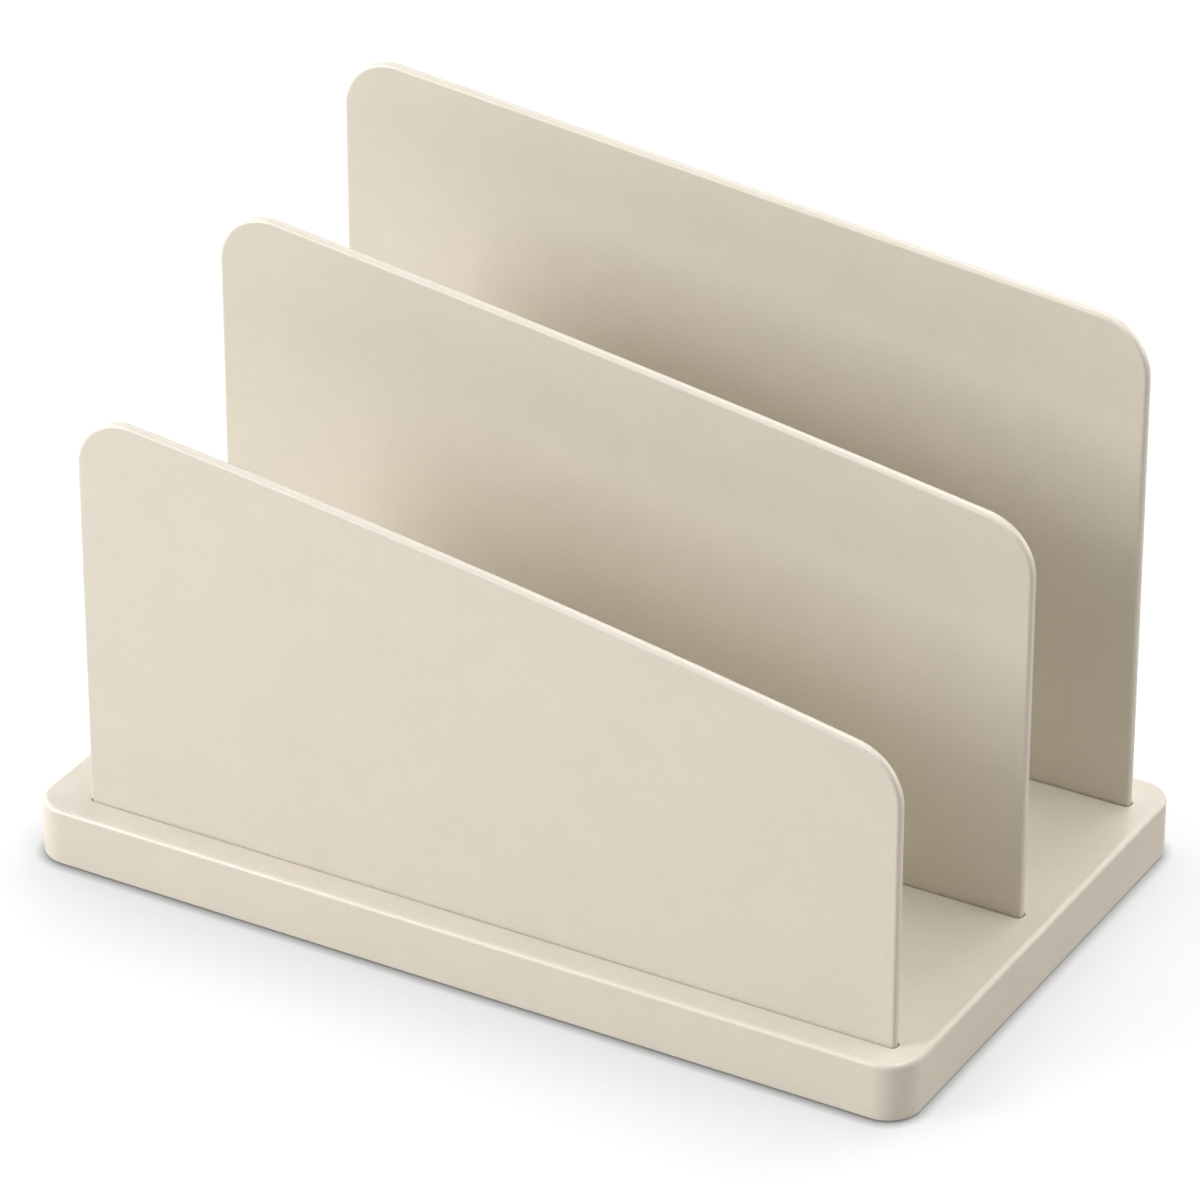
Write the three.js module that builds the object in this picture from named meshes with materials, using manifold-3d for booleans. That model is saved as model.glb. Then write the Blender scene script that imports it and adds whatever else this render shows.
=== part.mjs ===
// A desk file stand: a hollow moulded base carries three upright dividers that get taller towards the rear.
// Millimetres, +Z up, front towards -Y. The origin is on the desk, under the middle of the base.

import * as THREE from 'three';
import { mergeVertices } from 'three/addons/utils/BufferGeometryUtils.js';
import Module from 'manifold-3d';

// Base shell
const baseLength = 260;
const baseWidth = 156;
const baseHeight = 16.5;
const baseCornerRadius = 9.5;
const baseTopRound = 1.5;
const baseBottomRound = 0.6;
const wallThickness = 2.5;
const deckThickness = 3;
const ribThickness = 1.5;
const ribCount = 5;

// Slots in the deck, each with a collar below it that holds its divider upright
const collarDepth = 5;
const collarWall = 1.5;

// Bottom cover, set into a rabbet inside the rim of the shell
const coverThickness = 2;
const coverRecess = 0.5;
const rimThickness = 1.6;

// Dividers: each is a plate with a foot under the deck that points to the rear
const dividerThickness = 3;
const dividerEdgeRound = 1.1;
const dividerLeftInset = 14;
const dividerRightInset = 7.5;
const leftCornerRadius = 15;
const rightCornerRadius = 16;
const frontMargin = 10.2;
const rearMargin = 13.5;
const frontBayPitch = 69.4;
const footThickness = 2.5;
const footReach = 8;
const footInset = 6;

// Height of each top edge over the deck at the two ends of the plate, before its corners are rounded
const frontTop = { left: 117.2, right: 82.2, crown: 2.4 };
const middleTop = { left: 145.6, right: 112.6, crown: 1 };
const rearTop = { left: 163.8, right: 140.7, crown: 0 };

// Self-tapping screws
const shankRadius = 1.45;
const tipLength = 2;
const bossRadius = 3.2;
const pilotSpare = 0.4;
const recessWidth = 0.8;
const recessSpan = 3;
const recessDepth = 1;
const panHeadRadius = 2.8;
const panHeadHeight = 1.8;
const panHeadRound = 0.7;
const dividerScrewLength = 8;
const dividerScrewEndInset = 28;
const flatHeadRadius = 2.7;
const coverScrewLength = 9.5;
const coverScrewEndInset = 16;

// Rubber feet
const padRadius = 6;
const padThickness = 1.5;
const padSeatDepth = 0.5;
const padEdgeRound = 0.3;
const padEndInset = 19;
const padSideInset = 17;

// Fits
const slotGap = 0.3;
const coverGap = 0.3;
const padGap = 0.3;
const shankGap = 0.3;
const threadGap = 0.12;

// How far a cut runs past the face that it opens
const cutOverrun = 1;

// Facets
const curveSegments = 5;
const roundSegments = 3;
const bossSides = 16;
const screwSides = 12;
const padSides = 32;

// Levels, from the desk up: the pads lift the cover, and the rim of the shell hangs just below the cover
const coverBottom = padThickness - padSeatDepth;
const rimBottom = coverBottom - coverRecess;
const coverTop = coverBottom + coverThickness;
const deckTop = rimBottom + baseHeight;
const deckUnderside = deckTop - deckThickness;
const collarBottom = deckUnderside - collarDepth;
const footBottom = collarBottom - footThickness;

// Places along and across the base
const plateLeft = -baseLength / 2 + dividerLeftInset;
const plateRight = baseLength / 2 - dividerRightInset;
const frontPlane = -baseWidth / 2 + frontMargin;
const middlePlane = frontPlane + frontBayPitch;
const rearPlane = baseWidth / 2 - rearMargin;
const screwLine = dividerThickness / 2 + footReach / 2;

const dividers = [
  { name: 'front', plane: frontPlane, top: frontTop },
  { name: 'middle', plane: middlePlane, top: middleTop },
  { name: 'rear', plane: rearPlane, top: rearTop },
];
const dividerScrewPlaces = [
  { side: 'left', x: plateLeft + dividerScrewEndInset },
  { side: 'centre', x: (plateLeft + plateRight) / 2 },
  { side: 'right', x: plateRight - dividerScrewEndInset },
];
const coverScrewPlaces = [];
const bayMiddles = [['front', (frontPlane + middlePlane) / 2], ['rear', (middlePlane + rearPlane) / 2]];
for (const [row, y] of bayMiddles) {
  coverScrewPlaces.push({ name: `${row}_left`, x: -baseLength / 2 + coverScrewEndInset, y });
  coverScrewPlaces.push({ name: `${row}_centre`, x: 0, y });
  coverScrewPlaces.push({ name: `${row}_right`, x: baseLength / 2 - coverScrewEndInset, y });
}
const padPlaces = [];
for (const [row, rowSide] of [['front', -1], ['rear', 1]]) {
  for (const [end, endSide] of [['left', -1], ['right', 1]]) {
    const x = endSide * (baseLength / 2 - padEndInset);
    const y = rowSide * (baseWidth / 2 - padSideInset);
    padPlaces.push({ name: `${row}_${end}`, x, y });
  }
}

// Materials
const ivoryPlastic = new THREE.MeshStandardMaterial({ color: 0xdfd7c7, roughness: 0.5, metalness: 0 });
const zincSteel = new THREE.MeshStandardMaterial({ color: 0xb9bbbd, roughness: 0.35, metalness: 1 });
const greyRubber = new THREE.MeshStandardMaterial({ color: 0x4a4845, roughness: 0.85, metalness: 0 });

const wasm = await Module();
wasm.setup();

// A closed three.js geometry as a solid for joining and cutting
function solid(geometry) {
  geometry.deleteAttribute('normal');
  geometry.deleteAttribute('uv');
  const merged = mergeVertices(geometry, 1e-4);
  const index = merged.index.array;
  const triangles = [];
  for (let i = 0; i < index.length; i += 3) {
    const corners = [index[i], index[i + 1], index[i + 2]];
    if (new Set(corners).size === 3) triangles.push(...corners);
  }
  return new wasm.Manifold(new wasm.Mesh({
    numProp: 3,
    vertProperties: new Float32Array(merged.attributes.position.array),
    triVerts: new Uint32Array(triangles),
  }));
}

// A joined or cut solid as a three.js geometry
function geometryOf(body) {
  const mesh = body.getMesh();
  const geometry = new THREE.BufferGeometry();
  geometry.setAttribute('position', new THREE.BufferAttribute(new Float32Array(mesh.vertProperties), 3));
  geometry.setIndex(new THREE.BufferAttribute(new Uint32Array(mesh.triVerts), 1));
  return geometry;
}

// A rectangle between two opposite corners, with its own corners rounded
function roundedRectangle(x0, y0, x1, y1, radius) {
  const shape = new THREE.Shape();
  shape.absarc(x1 - radius, y0 + radius, radius, -Math.PI / 2, 0);
  shape.absarc(x1 - radius, y1 - radius, radius, 0, Math.PI / 2);
  shape.absarc(x0 + radius, y1 - radius, radius, Math.PI / 2, Math.PI);
  shape.absarc(x0 + radius, y0 + radius, radius, Math.PI, Math.PI * 1.5);
  return shape;
}

// The outline of the base, drawn in by an inset
function baseOutline(inset) {
  const halfLength = baseLength / 2 - inset;
  const halfWidth = baseWidth / 2 - inset;
  return roundedRectangle(-halfLength, -halfWidth, halfLength, halfWidth, baseCornerRadius - inset);
}

// A straight-sided slab between two heights
function slab(shape, bottom, top) {
  const depth = top - bottom;
  const geometry = new THREE.ExtrudeGeometry(shape, { depth, bevelEnabled: false, curveSegments });
  return geometry.translate(0, 0, bottom);
}

// A slab between two heights, with its edges rounded at both ends
function softSlab(shape, bottom, top, round) {
  const geometry = new THREE.ExtrudeGeometry(shape, {
    depth: top - bottom - 2 * round,
    bevelThickness: round,
    bevelSize: round,
    bevelOffset: -round,
    bevelSegments: roundSegments,
    curveSegments,
  });
  return geometry.translate(0, 0, bottom + round);
}

// An upright cylinder between two heights
function post(radius, x, y, bottom, top, sides) {
  const geometry = new THREE.CylinderGeometry(radius, radius, top - bottom, sides);
  geometry.rotateX(Math.PI / 2);
  return geometry.translate(x, y, (bottom + top) / 2);
}

// A blind hole that a screw cuts its thread in, open below
function pilotHole(x, y, mouth, top) {
  return post(shankRadius + threadGap, x, y, mouth - cutOverrun, top, screwSides);
}

// A through hole for the shank of a screw
function screwHole(x, y, bottom, top) {
  return post(shankRadius + shankGap, x, y, bottom - cutOverrun, top + cutOverrun, screwSides);
}

// The slot of a divider, grown by the gap or by the collar round it
function slotOutline(divider, grow) {
  const halfThickness = dividerThickness / 2 + grow;
  return roundedRectangle(
    plateLeft - grow,
    divider.plane - halfThickness,
    plateRight + grow,
    divider.plane + halfThickness,
    dividerEdgeRound + grow,
  );
}

// Outer form of the base: a large round on the top edge and a small one on the rim below
function baseBlock() {
  const overrun = baseHeight;
  const roundTop = solid(softSlab(baseOutline(0), rimBottom - overrun, deckTop, baseTopRound));
  const roundRim = solid(softSlab(baseOutline(0), rimBottom, deckTop + overrun, baseBottomRound));
  return roundTop.intersect(roundRim);
}

function baseShell() {
  let shell = baseBlock();
  shell = shell.subtract(solid(slab(baseOutline(wallThickness), coverTop, deckUnderside)));
  shell = shell.subtract(solid(slab(baseOutline(rimThickness), rimBottom - cutOverrun, coverTop)));

  // Cross ribs, evenly spaced between the two end rows of cover screws
  const firstRib = -baseLength / 2 + coverScrewEndInset;
  const ribPitch = (baseLength - 2 * coverScrewEndInset) / (ribCount - 1);
  const ribLength = baseWidth - wallThickness;
  for (let i = 0; i < ribCount; i += 1) {
    const rib = new THREE.BoxGeometry(ribThickness, ribLength, collarDepth + deckThickness / 2);
    rib.translate(firstRib + i * ribPitch, 0, collarBottom + (collarDepth + deckThickness / 2) / 2);
    shell = shell.add(solid(rib));
  }

  // Collars and screw bosses, sunk a little into the deck so that they join it
  const root = deckUnderside + deckThickness / 2;
  for (const divider of dividers) {
    shell = shell.add(solid(slab(slotOutline(divider, slotGap + collarWall), collarBottom, root)));
    const y = divider.plane + screwLine;
    for (const { x } of dividerScrewPlaces) {
      shell = shell.add(solid(post(bossRadius, x, y, collarBottom, root, bossSides)));
    }
  }
  for (const { x, y } of coverScrewPlaces) {
    shell = shell.add(solid(post(bossRadius, x, y, coverTop, root, bossSides)));
  }

  // Slots through deck and collars, then the pilot holes
  for (const divider of dividers) {
    const slot = slab(slotOutline(divider, slotGap), collarBottom - cutOverrun, deckTop + cutOverrun);
    shell = shell.subtract(solid(slot));
    const pilotTop = footBottom + dividerScrewLength + pilotSpare;
    for (const { x } of dividerScrewPlaces) {
      const y = divider.plane + screwLine;
      shell = shell.subtract(solid(pilotHole(x, y, collarBottom, pilotTop)));
    }
  }
  for (const { x, y } of coverScrewPlaces) {
    const pilotTop = coverBottom + coverScrewLength + pilotSpare;
    shell = shell.subtract(solid(pilotHole(x, y, coverTop, pilotTop)));
  }
  return geometryOf(shell);
}

function bottomCover() {
  const outline = baseOutline(rimThickness + coverGap);
  let cover = solid(slab(outline, coverBottom, coverTop));
  for (const { x, y } of coverScrewPlaces) {
    const sinkRadius = flatHeadRadius + shankGap;
    const sinkDepth = flatHeadRadius - shankRadius;
    const sink = new THREE.CylinderGeometry(shankRadius + shankGap, sinkRadius, sinkDepth, screwSides);
    sink.rotateX(Math.PI / 2);
    sink.translate(x, y, coverBottom + sinkDepth / 2);
    cover = cover.subtract(solid(sink));
    cover = cover.subtract(solid(screwHole(x, y, coverBottom, coverTop)));
  }
  for (const { x, y } of padPlaces) {
    const seatTop = coverBottom + padSeatDepth;
    const seat = post(padRadius + padGap, x, y, coverBottom - cutOverrun, seatTop, padSides);
    cover = cover.subtract(solid(seat));
  }
  return geometryOf(cover);
}

// The top edge of a plate: a shallow bow from the left end to the right end
function topEdge({ left, right, crown }) {
  const start = new THREE.Vector2(plateLeft, deckTop + left);
  const end = new THREE.Vector2(plateRight, deckTop + right);
  const chord = end.clone().sub(start);
  const rise = new THREE.Vector2(-chord.y, chord.x).normalize().multiplyScalar(4 * crown);
  return {
    point: (s) => start.clone().addScaledVector(chord, s).addScaledVector(rise, s * (1 - s)),
    slope: (s) => chord.clone().addScaledVector(rise, 1 - 2 * s),
  };
}

// Where a corner arc of a given radius touches both the bow and the upright end of the plate
function cornerArc(edge, endX, radius) {
  const inward = endX < (plateLeft + plateRight) / 2 ? 1 : -1;
  const centreX = endX + inward * radius;
  let outer = inward > 0 ? 0 : 1;
  let inner = 0.5;
  let centre;
  let normal;
  let s;
  for (let i = 0; i < 40; i += 1) {
    s = (outer + inner) / 2;
    const slope = edge.slope(s).normalize();
    normal = new THREE.Vector2(-slope.y, slope.x);
    centre = edge.point(s).addScaledVector(normal, -radius);
    if ((centre.x - centreX) * inward < 0) outer = s;
    else inner = s;
  }
  return { s, centre, angle: Math.atan2(normal.y, normal.x) };
}

function plateOutline(top) {
  const edge = topEdge(top);
  const left = cornerArc(edge, plateLeft, leftCornerRadius);
  const right = cornerArc(edge, plateRight, rightCornerRadius);
  const bowStart = edge.point(right.s);
  const bowEnd = edge.point(left.s);
  const bowPull = bowStart.clone().addScaledVector(edge.slope(right.s), (left.s - right.s) / 2);
  const shape = new THREE.Shape();
  shape.moveTo(plateLeft, footBottom);
  shape.lineTo(plateRight, footBottom);
  shape.absarc(right.centre.x, right.centre.y, rightCornerRadius, 0, right.angle);
  shape.quadraticCurveTo(bowPull.x, bowPull.y, bowEnd.x, bowEnd.y);
  shape.absarc(left.centre.x, left.centre.y, leftCornerRadius, left.angle, Math.PI);
  return shape;
}

// A plate in its own plane, with the foot that the screws hold behind it
function dividerPlate(top) {
  const plate = softSlab(plateOutline(top), 0, dividerThickness, dividerEdgeRound);
  plate.rotateX(Math.PI / 2);
  plate.translate(0, dividerThickness / 2, 0);

  const footLength = plateRight - plateLeft - 2 * footInset;
  const footCentre = (plateLeft + plateRight) / 2;
  const foot = new THREE.BoxGeometry(footLength, footReach + dividerThickness / 2, footThickness);
  foot.translate(footCentre, (footReach + dividerThickness / 2) / 2, footBottom + footThickness / 2);

  let divider = solid(plate).add(solid(foot));
  for (const { x } of dividerScrewPlaces) {
    divider = divider.subtract(solid(screwHole(x, screwLine, footBottom, collarBottom)));
  }
  return geometryOf(divider);
}

// A screw with its head down, turned from a profile, with a cross recess; its seat is at height zero
function screw(profile, headBottom) {
  const points = profile.map(([radius, height]) => new THREE.Vector2(radius, height));
  const turned = new THREE.LatheGeometry(points, screwSides);
  turned.rotateX(Math.PI / 2);
  let body = solid(turned);
  for (const turn of [0, Math.PI / 2]) {
    const slot = new THREE.BoxGeometry(recessSpan, recessWidth, 2 * recessDepth);
    slot.rotateZ(turn);
    slot.translate(0, 0, headBottom);
    body = body.subtract(solid(slot));
  }
  return geometryOf(body);
}

function dividerScrew() {
  return screw([
    [0, -panHeadHeight],
    [panHeadRadius - panHeadRound, -panHeadHeight],
    [panHeadRadius, panHeadRound - panHeadHeight],
    [panHeadRadius, 0],
    [shankRadius, 0],
    [shankRadius, dividerScrewLength - tipLength],
    [0, dividerScrewLength],
  ], -panHeadHeight);
}

function coverScrew() {
  return screw([
    [0, 0],
    [flatHeadRadius, 0],
    [shankRadius, flatHeadRadius - shankRadius],
    [shankRadius, coverScrewLength - tipLength],
    [0, coverScrewLength],
  ], 0);
}

function rubberPad() {
  const points = [
    [0, 0],
    [padRadius - padEdgeRound, 0],
    [padRadius, padEdgeRound],
    [padRadius, padThickness],
    [0, padThickness],
  ].map(([radius, height]) => new THREE.Vector2(radius, height));
  const pad = new THREE.LatheGeometry(points, padSides);
  return pad.rotateX(Math.PI / 2);
}

function piece(name, geometry, material, x = 0, y = 0, z = 0) {
  const mesh = new THREE.Mesh(geometry, material);
  mesh.name = name;
  mesh.position.set(x, y, z);
  return mesh;
}

const stand = new THREE.Group();
const base = new THREE.Group();
stand.add(base);
base.add(piece('base_shell', baseShell(), ivoryPlastic));
base.add(piece('bottom_cover', bottomCover(), ivoryPlastic));
for (const { name, x, y } of coverScrewPlaces) {
  base.add(piece(`cover_screw_${name}`, coverScrew(), zincSteel, x, y, coverBottom));
}
for (const { name, x, y } of padPlaces) {
  base.add(piece(`rubber_foot_${name}`, rubberPad(), greyRubber, x, y, 0));
}
for (const { name, plane, top } of dividers) {
  const assembly = new THREE.Group();
  assembly.position.y = plane;
  assembly.add(piece(`${name}_divider`, dividerPlate(top), ivoryPlastic));
  for (const { side, x } of dividerScrewPlaces) {
    const screwName = `${name}_divider_screw_${side}`;
    assembly.add(piece(screwName, dividerScrew(), zincSteel, x, screwLine, footBottom));
  }
  stand.add(assembly);
}

export default stand;
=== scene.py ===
import math

import bmesh
import bpy
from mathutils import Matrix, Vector


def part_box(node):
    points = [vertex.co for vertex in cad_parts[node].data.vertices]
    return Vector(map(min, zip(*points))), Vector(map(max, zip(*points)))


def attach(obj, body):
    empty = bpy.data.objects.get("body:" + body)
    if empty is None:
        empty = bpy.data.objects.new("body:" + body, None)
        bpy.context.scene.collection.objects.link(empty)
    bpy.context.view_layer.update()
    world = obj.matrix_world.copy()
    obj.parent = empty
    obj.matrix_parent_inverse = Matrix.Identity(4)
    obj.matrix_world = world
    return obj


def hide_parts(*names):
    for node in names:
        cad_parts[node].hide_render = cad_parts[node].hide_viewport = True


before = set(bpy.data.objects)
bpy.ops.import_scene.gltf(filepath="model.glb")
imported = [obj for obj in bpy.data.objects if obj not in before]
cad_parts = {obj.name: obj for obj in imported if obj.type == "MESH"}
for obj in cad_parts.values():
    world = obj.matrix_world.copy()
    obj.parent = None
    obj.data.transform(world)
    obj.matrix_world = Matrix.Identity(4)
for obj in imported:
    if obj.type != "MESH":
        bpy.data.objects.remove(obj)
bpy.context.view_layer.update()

# Lengths are written in millimetres and scaled on the way into a mesh
MM = 0.001

# Base shell
wall_thickness = 2.5
deck_thickness = 3.0
base_corner_radius = 9.5
base_top_round = 1.5
base_bottom_round = 0.6
rim_thickness = 1.6
rib_thickness = 1.5
rib_count = 5

# Slots in the deck and the collars below them
slot_gap = 0.3
slot_arris_round = 0.15
collar_depth = 5.0
collar_wall = 1.5

# Bottom cover
cover_gap = 0.3
cover_edge_round = 0.25

# Dividers
divider_thickness = 3.0
divider_edge_round = 1.1
left_corner_radius = 15.0
right_corner_radius = 16.0
foot_thickness = 2.5
foot_reach = 8.0
foot_inset = 6.0
foot_corner_radius = 0.4

# Height of each top edge over the deck at the two ends of the plate, and the rise of its bow
divider_tops = {
    "front": (117.2, 82.2, 2.4),
    "middle": (145.6, 112.6, 1.0),
    "rear": (163.8, 140.7, 0.0),
}

# Screws
shank_radius = 1.45
shank_gap = 0.3
thread_gap = 0.12
boss_radius = 3.2
pilot_spare = 0.4
divider_screw_length = 8.0
divider_screw_end_inset = 28.0
cover_screw_length = 9.5
cover_screw_end_inset = 16.0
flat_head_radius = 2.7
head_rim_inset = 0.1
head_rim_height = 0.08
tip_length = 2.0
tip_radius_share = 0.15

# The cross recess of a cover screw: its reach narrows to these shares of span and width at its floor
recess_span = 3.0
recess_width = 0.7
recess_depth = 1.0
recess_overrun = 0.2
recess_floor_span_share = 0.55
recess_floor_width_share = 0.6

# Rubber feet
pad_radius = 6.0
pad_gap = 0.3
pad_seat_depth = 0.5
pad_edge_round = 0.35

# Fineness of the meshes
corner_steps = 20
round_steps = 7
arris_steps = 4
bow_steps = 40
turned_steps = 48
arc_search_steps = 50
cut_overrun = 1.0
sharp_angle = math.radians(40)
flat_face_weight = 100

# Satin plastic: how far its clouds and its grain each move the colour from dark to light
plastic_dark = (0.688, 0.637, 0.545, 1)
plastic_light = (0.752, 0.696, 0.595, 1)
cloud_share = (0.0, 0.4)
grain_share = (-0.15, 0.75)
plastic_roughness = (0.36, 0.44)
coat_weight = 0.5
coat_roughness = 0.28
grain_strength = 0.6
grain_height = 0.00012

# Zinc plated steel
steel_dark = (0.52, 0.53, 0.55, 1)
steel_light = (0.66, 0.66, 0.65, 1)
steel_roughness = (0.25, 0.42)

# Grey rubber
rubber_dark = (0.058, 0.055, 0.051, 1)
rubber_light = (0.085, 0.081, 0.076, 1)
rubber_roughness = (0.7, 0.9)
dust_strength = 0.4
dust_height = 0.00005

# Floor: the camera sees its glow and a share of the lamps' light, and other rays see its plain colour.
# A shade is how far the floor looks for the object over it, in metres, and how much darker it then gets.
floor_reach = 3000.0
floor_colour = (0.72, 0.705, 0.67, 1)
seen_floor_share = 0.3
floor_glow = 0.72
floor_shades = ((0.06, 0.42), (0.003, 0.75))
floor_shade_lean = (-0.1, 0.3, 0.95)

# Lamps: azimuth and elevation in degrees, side in metres, power in watts, and tint.
# Azimuth 0 is in front of the stand, and 90 is to its right.
lamp_distance = 2.4
lamp_target = Vector((0, 0, 0.08))
white = (1, 1, 1)
cool_white = (0.96, 1, 1.06)
warm_white = (1.06, 1, 0.88)
lamps = {
    "key": (-46, 21, 1.0, 42, white),
    "front": (-32, 36, 0.8, 8, white),
    "overhead": (90, 68, 1.35, 35, white),
    "left": (-100, 14, 1.35, 21, cool_white),
    "rear_right": (150, 14, 1.35, 14, warm_white),
    "rear": (180, 50, 1.35, 20, white),
}

# Camera
camera_place = (0.76978, -1.34831, 0.96525)
camera_azimuth = 29.7655
camera_elevation = 29.7979
camera_lens = 207.03
camera_nearest = 0.1
camera_furthest = 30


def box_mm(node):
    low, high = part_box(node)
    return low / MM, high / MM


shell_low, shell_high = box_mm("base_shell")
base_length = shell_high.x - shell_low.x
base_width = shell_high.y - shell_low.y
rim_bottom = shell_low.z
deck_top = shell_high.z
deck_underside = deck_top - deck_thickness
collar_bottom = deck_underside - collar_depth
cover_low, cover_high = box_mm("bottom_cover")
cover_bottom = cover_low.z
cover_top = cover_high.z
plate_low, plate_high = box_mm("front_divider")
plate_left = plate_low.x
plate_right = plate_high.x
foot_bottom = plate_low.z
planes = {name: box_mm(name + "_divider")[0].y + divider_thickness / 2 for name in divider_tops}
screw_line = divider_thickness / 2 + foot_reach / 2
divider_screw_places = (
    plate_left + divider_screw_end_inset,
    (plate_left + plate_right) / 2,
    plate_right - divider_screw_end_inset,
)
cover_screw_places = {}
for row, behind, ahead in (("front", "front", "middle"), ("rear", "middle", "rear")):
    row_y = (planes[behind] + planes[ahead]) / 2
    cover_screw_places[row + "_left"] = (-base_length / 2 + cover_screw_end_inset, row_y)
    cover_screw_places[row + "_centre"] = (0.0, row_y)
    cover_screw_places[row + "_right"] = (base_length / 2 - cover_screw_end_inset, row_y)
pad_places = {}
for name in ("front_left", "front_right", "rear_left", "rear_right"):
    pad_low, pad_high = box_mm("rubber_foot_" + name)
    pad_places[name] = ((pad_low.x + pad_high.x) / 2, (pad_low.y + pad_high.y) / 2)
pad_thickness = pad_high.z - pad_low.z


# Outlines and rings

def rounded_rectangle(x0, y0, x1, y1, radius, steps):
    corners = (
        (x1 - radius, y0 + radius, -90),
        (x1 - radius, y1 - radius, 0),
        (x0 + radius, y1 - radius, 90),
        (x0 + radius, y0 + radius, 180),
    )
    points = []
    for centre_x, centre_y, start in corners:
        for i in range(steps + 1):
            angle = math.radians(start + 90 * i / steps)
            points.append((centre_x + radius * math.cos(angle), centre_y + radius * math.sin(angle)))
    return points


def base_outline(inset):
    half_length = base_length / 2 - inset
    half_width = base_width / 2 - inset
    radius = base_corner_radius - inset
    return rounded_rectangle(-half_length, -half_width, half_length, half_width, radius, corner_steps)


def slot_outline(plane, grow):
    half = divider_thickness / 2 + grow
    radius = divider_edge_round + grow
    left = plate_left - grow
    right = plate_right + grow
    return rounded_rectangle(left, plane - half, right, plane + half, radius, round_steps)


def circle(x, y, radius):
    angles = [math.tau * i / turned_steps for i in range(turned_steps)]
    return [(x + radius * math.cos(a), y + radius * math.sin(a)) for a in angles]


def quarter_round(radius, steps):
    """Pairs of inset and drop along a quarter round, from the side to the end face."""
    angles = [math.pi / 2 * i / steps for i in range(steps + 1)]
    return [(radius * (1 - math.cos(a)), radius * math.sin(a)) for a in angles]


def add_ring(bm, points, z):
    return [bm.verts.new((x * MM, y * MM, z * MM)) for x, y in points]


def bridge(bm, lower, upper):
    count = len(lower)
    for i in range(count):
        j = (i + 1) % count
        bm.faces.new((lower[i], lower[j], upper[j], upper[i]))


def stack(bm, rings, capped=True):
    for lower, upper in zip(rings, rings[1:]):
        bridge(bm, lower, upper)
    if capped:
        bm.faces.new(rings[0])
        bm.faces.new(rings[-1])


def prism(bm, outline, bottom, top):
    stack(bm, [add_ring(bm, outline, bottom), add_ring(bm, outline, top)])


def rectangle(x0, y0, x1, y1):
    return [(x0, y0), (x1, y0), (x1, y1), (x0, y1)]


def turn(bm, x, y, profile):
    """A closed turned body on an upright axis: the profile runs from its lowest ring to its highest."""
    stack(bm, [add_ring(bm, circle(x, y, radius), z) for radius, z in profile])


# Objects

def make_object(name, bm):
    bmesh.ops.recalc_face_normals(bm, faces=bm.faces)
    mesh = bpy.data.meshes.new(name)
    bm.to_mesh(mesh)
    bm.free()
    piece = bpy.data.objects.new(name, mesh)
    bpy.context.scene.collection.objects.link(piece)
    return piece


def combine(piece, bm, operation):
    """Joins or cuts a piece with the bodies in bm."""
    tool = make_object("tool", bm)
    modifier = piece.modifiers.new("combine", "BOOLEAN")
    modifier.operation = operation
    modifier.solver = "EXACT"
    modifier.object = tool
    bpy.context.view_layer.update()
    evaluated = piece.evaluated_get(bpy.context.evaluated_depsgraph_get())
    old_mesh = piece.data
    new_mesh = bpy.data.meshes.new_from_object(evaluated)
    piece.modifiers.clear()
    piece.data = new_mesh
    bpy.data.meshes.remove(old_mesh)
    tool_mesh = tool.data
    bpy.data.objects.remove(tool)
    bpy.data.meshes.remove(tool_mesh)


def finish_piece(piece, material, slot, *nodes):
    """Smooth shading that keeps flat faces flat, then the finish; the piece joins the root body and the
    parts it stands for are hidden.
    """
    mesh = piece.data
    mesh.materials.clear()
    mesh.materials.append(material)
    for polygon in mesh.polygons:
        polygon.use_smooth = True
        polygon.material_index = 0
    mesh.set_sharp_from_angle(angle=sharp_angle)
    normals = piece.modifiers.new("normals", "WEIGHTED_NORMAL")
    normals.keep_sharp = True
    normals.weight = flat_face_weight
    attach(piece, "root")
    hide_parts(*nodes)


# Materials

def new_material(name):
    material = bpy.data.materials.new(name)
    material.use_nodes = True
    tree = material.node_tree
    return material, tree, tree.nodes["Principled BSDF"]


def noise(tree, scale, detail=2.0, roughness=0.5):
    node = tree.nodes.new("ShaderNodeTexNoise")
    node.inputs["Scale"].default_value = scale
    node.inputs["Detail"].default_value = detail
    node.inputs["Roughness"].default_value = roughness
    place = tree.nodes.new("ShaderNodeNewGeometry")
    tree.links.new(place.outputs["Position"], node.inputs["Vector"])
    return node


def ramp(tree, source, low, high, from_low=0.3, from_high=0.7):
    node = tree.nodes.new("ShaderNodeMapRange")
    node.inputs["From Min"].default_value = from_low
    node.inputs["From Max"].default_value = from_high
    node.inputs["To Min"].default_value = low
    node.inputs["To Max"].default_value = high
    tree.links.new(source, node.inputs["Value"])
    return node


def product(tree, first, second):
    """Two factors multiplied; the second may be a plain number."""
    node = tree.nodes.new("ShaderNodeMath")
    node.operation = "MULTIPLY"
    tree.links.new(first, node.inputs[0])
    if isinstance(second, float):
        node.inputs[1].default_value = second
    else:
        tree.links.new(second, node.inputs[1])
    return node.outputs["Value"]


def colour(tree, shader, share, dark, light):
    tint = tree.nodes.new("ShaderNodeMix")
    tint.data_type = "RGBA"
    tint.inputs["A"].default_value = dark
    tint.inputs["B"].default_value = light
    tree.links.new(share, tint.inputs["Factor"])
    tree.links.new(tint.outputs["Result"], shader.inputs["Base Color"])


def gloss(tree, shader, source, roughness):
    spread = ramp(tree, source, *roughness)
    tree.links.new(spread.outputs["Result"], shader.inputs["Roughness"])


def bump(tree, shader, source, strength, height):
    node = tree.nodes.new("ShaderNodeBump")
    node.inputs["Strength"].default_value = strength
    node.inputs["Distance"].default_value = height
    tree.links.new(source, node.inputs["Height"])
    tree.links.new(node.outputs["Normal"], shader.inputs["Normal"])


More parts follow.
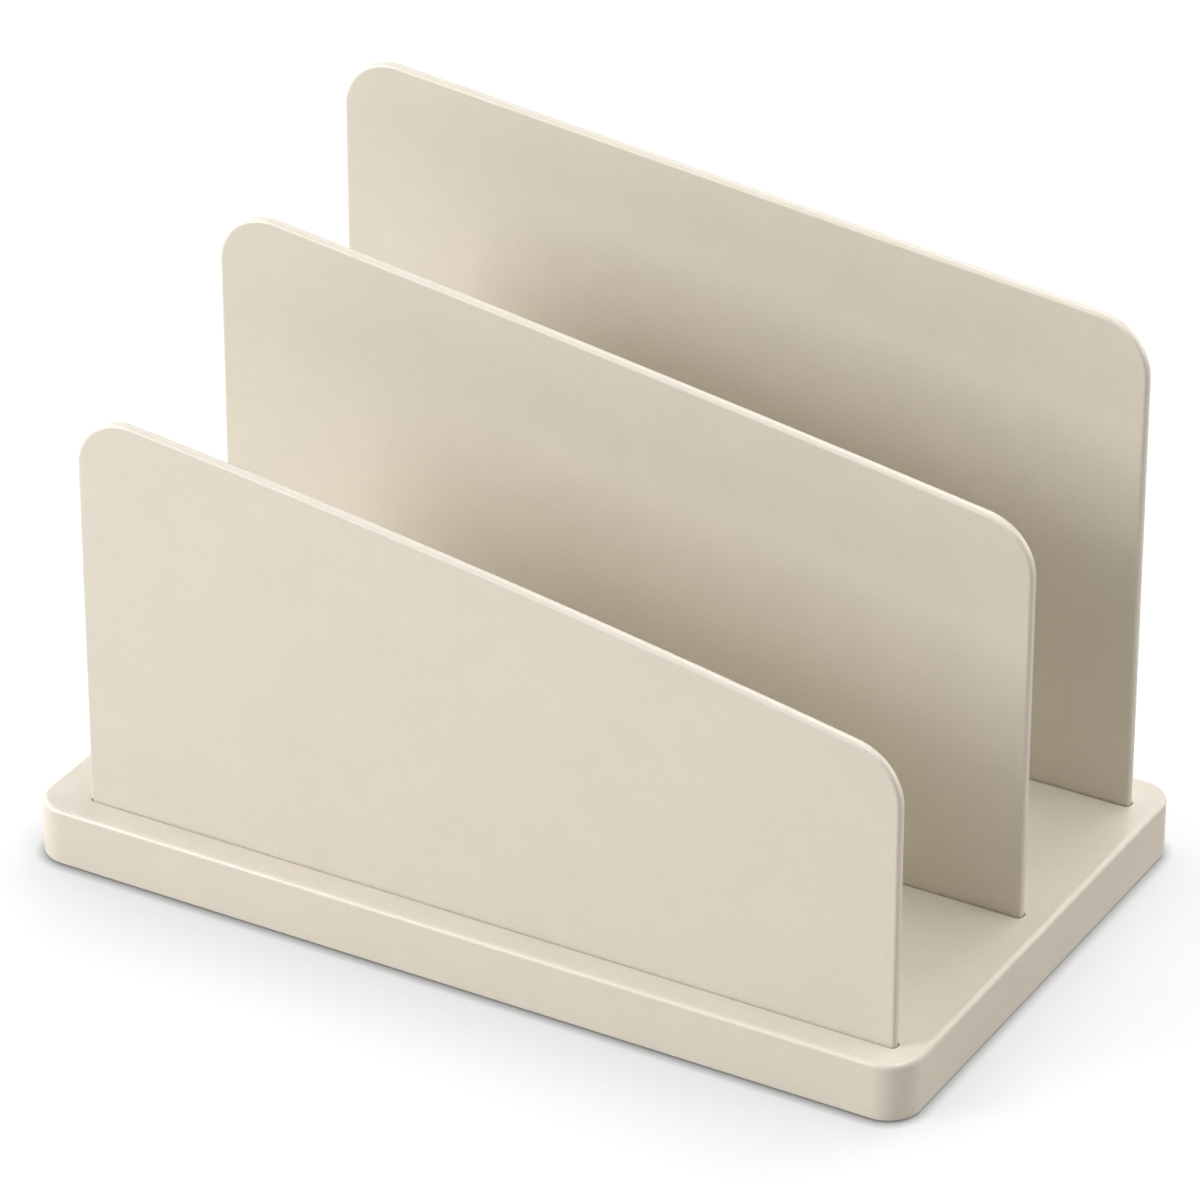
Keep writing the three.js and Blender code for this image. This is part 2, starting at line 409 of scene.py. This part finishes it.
def satin_plastic():
    """Moulded plastic with a fine spark-eroded grain and a faint cloudiness."""
    material, tree, shader = new_material("satin_plastic")
    clouds = noise(tree, scale=65.0, detail=6.0, roughness=0.65)
    grain = noise(tree, scale=2200.0, detail=3.0, roughness=0.8)
    cloudiness = ramp(tree, clouds.outputs["Fac"], *cloud_share)
    graininess = ramp(tree, grain.outputs["Fac"], *grain_share)
    share = tree.nodes.new("ShaderNodeMath")
    share.operation = "ADD"
    tree.links.new(cloudiness.outputs["Result"], share.inputs[0])
    tree.links.new(graininess.outputs["Result"], share.inputs[1])
    colour(tree, shader, share.outputs["Value"], plastic_dark, plastic_light)
    patches = noise(tree, scale=120.0)
    gloss(tree, shader, patches.outputs["Fac"], plastic_roughness)
    shader.inputs["Coat Weight"].default_value = coat_weight
    shader.inputs["Coat Roughness"].default_value = coat_roughness
    bump(tree, shader, grain.outputs["Fac"], grain_strength, grain_height)
    return material


def plated_steel():
    """Dull zinc plating with a fine mottle in its colour and gloss."""
    material, tree, shader = new_material("plated_steel")
    shader.inputs["Metallic"].default_value = 1.0
    mottle = noise(tree, scale=900.0, detail=3.0)
    colour(tree, shader, mottle.outputs["Fac"], steel_dark, steel_light)
    gloss(tree, shader, mottle.outputs["Fac"], steel_roughness)
    return material


def grey_rubber():
    """Matt rubber with a dusty, slightly rough skin."""
    material, tree, shader = new_material("grey_rubber")
    dust = noise(tree, scale=500.0, detail=4.0)
    colour(tree, shader, dust.outputs["Fac"], rubber_dark, rubber_light)
    gloss(tree, shader, dust.outputs["Fac"], rubber_roughness)
    bump(tree, shader, dust.outputs["Fac"], dust_strength, dust_height)
    return material


plastic = satin_plastic()
steel = plated_steel()
rubber = grey_rubber()


# Base shell

def base_block():
    """Outer skin of the base with its slots, still solid below the deck."""
    bm = bmesh.new()
    rings = []
    for inset, drop in reversed(quarter_round(base_bottom_round, round_steps)):
        rings.append(add_ring(bm, base_outline(inset), rim_bottom + base_bottom_round - drop))
    for inset, rise in quarter_round(base_top_round, round_steps):
        rings.append(add_ring(bm, base_outline(inset), deck_top - base_top_round + rise))
    stack(bm, rings, capped=False)
    top_loops = [rings[-1]]
    bottom_loops = [rings[0]]
    for plane in planes.values():
        slot_rings = [add_ring(bm, slot_outline(plane, slot_gap), rim_bottom)]
        for inset, rise in quarter_round(slot_arris_round, arris_steps):
            outline = slot_outline(plane, slot_gap + inset)
            slot_rings.append(add_ring(bm, outline, deck_top - slot_arris_round + rise))
        stack(bm, slot_rings, capped=False)
        top_loops.append(slot_rings[-1])
        bottom_loops.append(slot_rings[0])
    for loops in (top_loops, bottom_loops):
        edges = []
        for loop in loops:
            for i, vertex in enumerate(loop):
                follower = loop[(i + 1) % len(loop)]
                edges.append(bm.edges.get((vertex, follower)) or bm.edges.new((vertex, follower)))
        bmesh.ops.triangle_fill(bm, edges=edges, use_beauty=True)
    return make_object("fine_base_shell", bm)


def base_cavity():
    """The hollow of the base, with its ribs, collars and bosses taken out of it."""
    bm = bmesh.new()
    prism(bm, base_outline(wall_thickness), cover_top - cut_overrun, deck_underside)
    cavity = make_object("cavity", bm)
    bm = bmesh.new()
    first_rib = -base_length / 2 + cover_screw_end_inset
    rib_pitch = (base_length - 2 * cover_screw_end_inset) / (rib_count - 1)
    for i in range(rib_count):
        x = first_rib + i * rib_pitch
        half = rib_thickness / 2
        prism(bm, rectangle(x - half, -base_width / 2, x + half, base_width / 2), collar_bottom, deck_top)
    combine(cavity, bm, "DIFFERENCE")
    bm = bmesh.new()
    for plane in planes.values():
        prism(bm, slot_outline(plane, slot_gap + collar_wall), collar_bottom, deck_top)
    combine(cavity, bm, "DIFFERENCE")
    bm = bmesh.new()
    for plane in planes.values():
        for x in divider_screw_places:
            prism(bm, circle(x, plane + screw_line, boss_radius), collar_bottom, deck_top)
    for x, y in cover_screw_places.values():
        prism(bm, circle(x, y, boss_radius), cover_top - 2 * cut_overrun, deck_top)
    combine(cavity, bm, "DIFFERENCE")
    return cavity


def base_shell():
    shell = base_block()
    cavity = base_cavity()
    bm = bmesh.new()
    bm.from_mesh(cavity.data)
    cavity_mesh = cavity.data
    bpy.data.objects.remove(cavity)
    bpy.data.meshes.remove(cavity_mesh)
    combine(shell, bm, "DIFFERENCE")
    bm = bmesh.new()
    prism(bm, base_outline(rim_thickness), rim_bottom - cut_overrun, cover_top)
    combine(shell, bm, "DIFFERENCE")
    bm = bmesh.new()
    pilot_radius = shank_radius + thread_gap
    for plane in planes.values():
        top = foot_bottom + divider_screw_length + pilot_spare
        for x in divider_screw_places:
            prism(bm, circle(x, plane + screw_line, pilot_radius), collar_bottom - cut_overrun, top)
    for x, y in cover_screw_places.values():
        top = cover_bottom + cover_screw_length + pilot_spare
        prism(bm, circle(x, y, pilot_radius), cover_top - cut_overrun, top)
    combine(shell, bm, "DIFFERENCE")
    finish_piece(shell, plastic, "ivory_plastic", "base_shell")


# Dividers

def corner_arc(bow, end_x, radius):
    """Where a corner arc touches both the bow and the upright end of the plate."""
    inward = 1 if end_x < (plate_left + plate_right) / 2 else -1
    centre_x = end_x + inward * radius
    outer = 0.0 if inward > 0 else 1.0
    inner = 0.5
    for _ in range(arc_search_steps):
        s = (outer + inner) / 2
        point, normal = bow(s)
        centre = point - normal * radius
        if (centre.x - centre_x) * inward < 0:
            outer = s
        else:
            inner = s
    return s, centre, math.atan2(normal.y, normal.x)


def plate_outline(left, right, crown):
    """Points of a plate's outline with their outward directions, anticlockwise from the lower left."""
    start = Vector((plate_left, deck_top + left))
    chord = Vector((plate_right, deck_top + right)) - start
    # The bow follows s (1 - s), which is a quarter at its middle, so its factor is four times the crown
    rise = Vector((-chord.y, chord.x)).normalized() * 4 * crown

    def bow(s):
        slope = (chord + rise * (1 - 2 * s)).normalized()
        return start + chord * s + rise * s * (1 - s), Vector((-slope.y, slope.x))

    points = [
        (Vector((plate_left, foot_bottom)), Vector((-1, -1))),
        (Vector((plate_right, foot_bottom)), Vector((1, -1))),
    ]
    right_s, centre, angle = corner_arc(bow, plate_right, right_corner_radius)
    for i in range(corner_steps + 1):
        outward = Vector((math.cos(angle * i / corner_steps), math.sin(angle * i / corner_steps)))
        points.append((centre + outward * right_corner_radius, outward))
    left_s, centre, angle = corner_arc(bow, plate_left, left_corner_radius)
    for i in range(1, bow_steps):
        points.append(bow(right_s + (left_s - right_s) * i / bow_steps))
    for i in range(corner_steps + 1):
        turned = angle + (math.pi - angle) * i / corner_steps
        outward = Vector((math.cos(turned), math.sin(turned)))
        points.append((centre + outward * left_corner_radius, outward))
    return points


def divider(name):
    plane = planes[name]
    outline = plate_outline(*divider_tops[name])
    half = divider_thickness / 2
    profile = []
    for inset, rise in reversed(quarter_round(divider_edge_round, round_steps)):
        profile.append((inset, -half + divider_edge_round - rise))
    for inset, rise in quarter_round(divider_edge_round, round_steps):
        profile.append((inset, half - divider_edge_round + rise))
    bm = bmesh.new()
    rings = []
    for inset, y in profile:
        drawn_in = [point - outward * inset for point, outward in outline]
        rings.append([bm.verts.new((p.x * MM, (plane + y) * MM, p.y * MM)) for p in drawn_in])
    stack(bm, rings)
    plate = make_object("fine_" + name + "_divider", bm)
    bm = bmesh.new()
    low_x = plate_left + foot_inset
    high_x = plate_right - foot_inset
    high_y = plane + half + foot_reach
    outline = rounded_rectangle(low_x, plane, high_x, high_y, foot_corner_radius, arris_steps)
    prism(bm, outline, foot_bottom, foot_bottom + foot_thickness)
    combine(plate, bm, "UNION")
    bm = bmesh.new()
    for x in divider_screw_places:
        hole = circle(x, plane + screw_line, shank_radius + shank_gap)
        prism(bm, hole, foot_bottom - cut_overrun, collar_bottom + cut_overrun)
    combine(plate, bm, "DIFFERENCE")
    finish_piece(plate, plastic, "ivory_plastic", name + "_divider")


# Bottom cover with its screws and feet

def bottom_cover():
    bm = bmesh.new()
    edge = rim_thickness + cover_gap
    rings = []
    for inset, drop in reversed(quarter_round(cover_edge_round, arris_steps)):
        rings.append(add_ring(bm, base_outline(edge + inset), cover_bottom + cover_edge_round - drop))
    rings.append(add_ring(bm, base_outline(edge), cover_top))
    stack(bm, rings)
    cover = make_object("fine_bottom_cover", bm)
    bm = bmesh.new()
    hole_radius = shank_radius + shank_gap
    sink_radius = flat_head_radius + shank_gap
    sink_depth = flat_head_radius - shank_radius
    for x, y in cover_screw_places.values():
        turn(bm, x, y, (
            (sink_radius + cut_overrun, cover_bottom - cut_overrun),
            (sink_radius, cover_bottom),
            (hole_radius, cover_bottom + sink_depth),
            (hole_radius, cover_top + cut_overrun),
        ))
    for x, y in pad_places.values():
        turn(bm, x, y, (
            (pad_radius + pad_gap, cover_bottom - cut_overrun),
            (pad_radius + pad_gap, cover_bottom + pad_seat_depth),
        ))
    combine(cover, bm, "DIFFERENCE")
    finish_piece(cover, plastic, "ivory_plastic", "bottom_cover")


def cover_screw(name, x, y):
    bm = bmesh.new()
    sink_depth = flat_head_radius - shank_radius
    tip = cover_bottom + cover_screw_length
    turn(bm, x, y, (
        (flat_head_radius - head_rim_inset, cover_bottom),
        (flat_head_radius, cover_bottom + head_rim_height),
        (shank_radius, cover_bottom + sink_depth),
        (shank_radius, tip - tip_length),
        (shank_radius * tip_radius_share, tip),
    ))
    screw = make_object("fine_cover_screw_" + name, bm)
    half_span = recess_span / 2
    half_width = recess_width / 2
    floor_span = half_span * recess_floor_span_share
    floor_width = half_width * recess_floor_width_share
    for mouth, bed in (
        ((half_span, half_width), (floor_span, floor_width)),
        ((half_width, half_span), (floor_width, floor_span)),
    ):
        bm = bmesh.new()
        rings = []
        for (reach_x, reach_y), z in (
            (mouth, cover_bottom - recess_overrun),
            (bed, cover_bottom + recess_depth),
        ):
            outline = rectangle(x - reach_x, y - reach_y, x + reach_x, y + reach_y)
            rings.append(add_ring(bm, outline, z))
        stack(bm, rings)
        combine(screw, bm, "DIFFERENCE")
    finish_piece(screw, steel, "zinc_steel", "cover_screw_" + name)


def rubber_foot(name, x, y):
    bm = bmesh.new()
    profile = []
    for inset, drop in reversed(quarter_round(pad_edge_round, arris_steps)):
        profile.append((pad_radius - inset, pad_edge_round - drop))
    profile.append((pad_radius, pad_thickness))
    turn(bm, x, y, profile)
    foot = make_object("fine_rubber_foot_" + name, bm)
    finish_piece(foot, rubber, "grey_rubber", "rubber_foot_" + name)


base_shell()
for name in divider_tops:
    divider(name)
bottom_cover()
for name, (x, y) in cover_screw_places.items():
    cover_screw(name, x, y)
for name, (x, y) in pad_places.items():
    rubber_foot(name, x, y)

# The divider screws are sealed inside, so their own solids stay and take the same steel
for name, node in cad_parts.items():
    if "_divider_screw_" in name:
        node.data.materials.clear()
        node.data.materials.append(steel)


# Floor, light and camera

def floor():
    """A pale matt floor that the camera sees as white away from the stand and shaded close to it."""
    bm = bmesh.new()
    corners = rectangle(-floor_reach, -floor_reach, floor_reach, floor_reach)
    bm.faces.new(add_ring(bm, corners, 0.0))
    plane = make_object("floor", bm)
    material, tree, shader = new_material("pale_floor")
    tree.nodes.remove(shader)
    path = tree.nodes.new("ShaderNodeLightPath")
    lean = tree.nodes.new("ShaderNodeCombineXYZ")
    for axis, share in zip("XYZ", floor_shade_lean):
        lean.inputs[axis].default_value = share
    level = tree.nodes.new("ShaderNodeValue").outputs["Value"]
    level.default_value = 1.0
    for reach, depth in floor_shades:
        openness = tree.nodes.new("ShaderNodeAmbientOcclusion")
        openness.inputs["Distance"].default_value = reach
        tree.links.new(lean.outputs["Vector"], openness.inputs["Normal"])
        shade = ramp(tree, openness.outputs["AO"], 1 - depth, 1.0, 0.0, 1.0)
        level = product(tree, level, shade.outputs["Result"])
    tint = tree.nodes.new("ShaderNodeMix")
    tint.data_type = "RGBA"
    tint.inputs["A"].default_value = floor_colour
    tree.links.new(product(tree, level, seen_floor_share), tint.inputs["B"])
    tree.links.new(path.outputs["Is Camera Ray"], tint.inputs["Factor"])
    matt = tree.nodes.new("ShaderNodeBsdfDiffuse")
    tree.links.new(tint.outputs["Result"], matt.inputs["Color"])
    glow = tree.nodes.new("ShaderNodeEmission")
    seen_glow = product(tree, path.outputs["Is Camera Ray"], floor_glow)
    tree.links.new(product(tree, level, seen_glow), glow.inputs["Strength"])
    both = tree.nodes.new("ShaderNodeAddShader")
    tree.links.new(matt.outputs["BSDF"], both.inputs[0])
    tree.links.new(glow.outputs["Emission"], both.inputs[1])
    tree.links.new(both.outputs["Shader"], tree.nodes["Material Output"].inputs["Surface"])
    plane.data.materials.append(material)


def sky():
    """White behind the stand and in its gloss, and no light on it."""
    world = bpy.data.worlds.new("studio")
    world.use_nodes = True
    bpy.context.scene.world = world
    tree = world.node_tree
    background = tree.nodes["Background"]
    background.inputs["Color"].default_value = (1, 1, 1, 1)
    path = tree.nodes.new("ShaderNodeLightPath")
    seen = tree.nodes.new("ShaderNodeMath")
    seen.operation = "MAXIMUM"
    tree.links.new(path.outputs["Is Camera Ray"], seen.inputs[0])
    tree.links.new(path.outputs["Is Glossy Ray"], seen.inputs[1])
    tree.links.new(seen.outputs["Value"], background.inputs["Strength"])


def bearing(azimuth, elevation):
    """The direction from the stand towards a lamp or the camera."""
    a = math.radians(azimuth)
    e = math.radians(elevation)
    return Vector((math.sin(a) * math.cos(e), -math.cos(a) * math.cos(e), math.sin(e)))


def lamp(name, azimuth, elevation, size, power, tint):
    """A square soft lamp that faces the stand."""
    towards = bearing(azimuth, elevation)
    light = bpy.data.lights.new(name, "AREA")
    light.size = size
    light.energy = power
    light.color = tint
    light_object = bpy.data.objects.new(name, light)
    light_object.location = lamp_target + towards * lamp_distance
    light_object.rotation_euler = towards.to_track_quat("Z", "Y").to_euler()
    bpy.context.scene.collection.objects.link(light_object)


def view():
    """The camera, at the photograph's viewing angle, and plain colour handling."""
    camera_data = bpy.data.cameras.new("camera")
    camera_data.lens = camera_lens
    camera_data.clip_start = camera_nearest
    camera_data.clip_end = camera_furthest
    camera = bpy.data.objects.new("camera", camera_data)
    camera.location = camera_place
    camera.rotation_mode = "QUATERNION"
    camera.rotation_quaternion = bearing(camera_azimuth, camera_elevation).to_track_quat("Z", "Y")
    bpy.context.scene.collection.objects.link(camera)
    bpy.context.scene.camera = camera
    bpy.context.scene.view_settings.view_transform = "Standard"


floor()
sky()
for name, settings in lamps.items():
    lamp(name, *settings)
view()
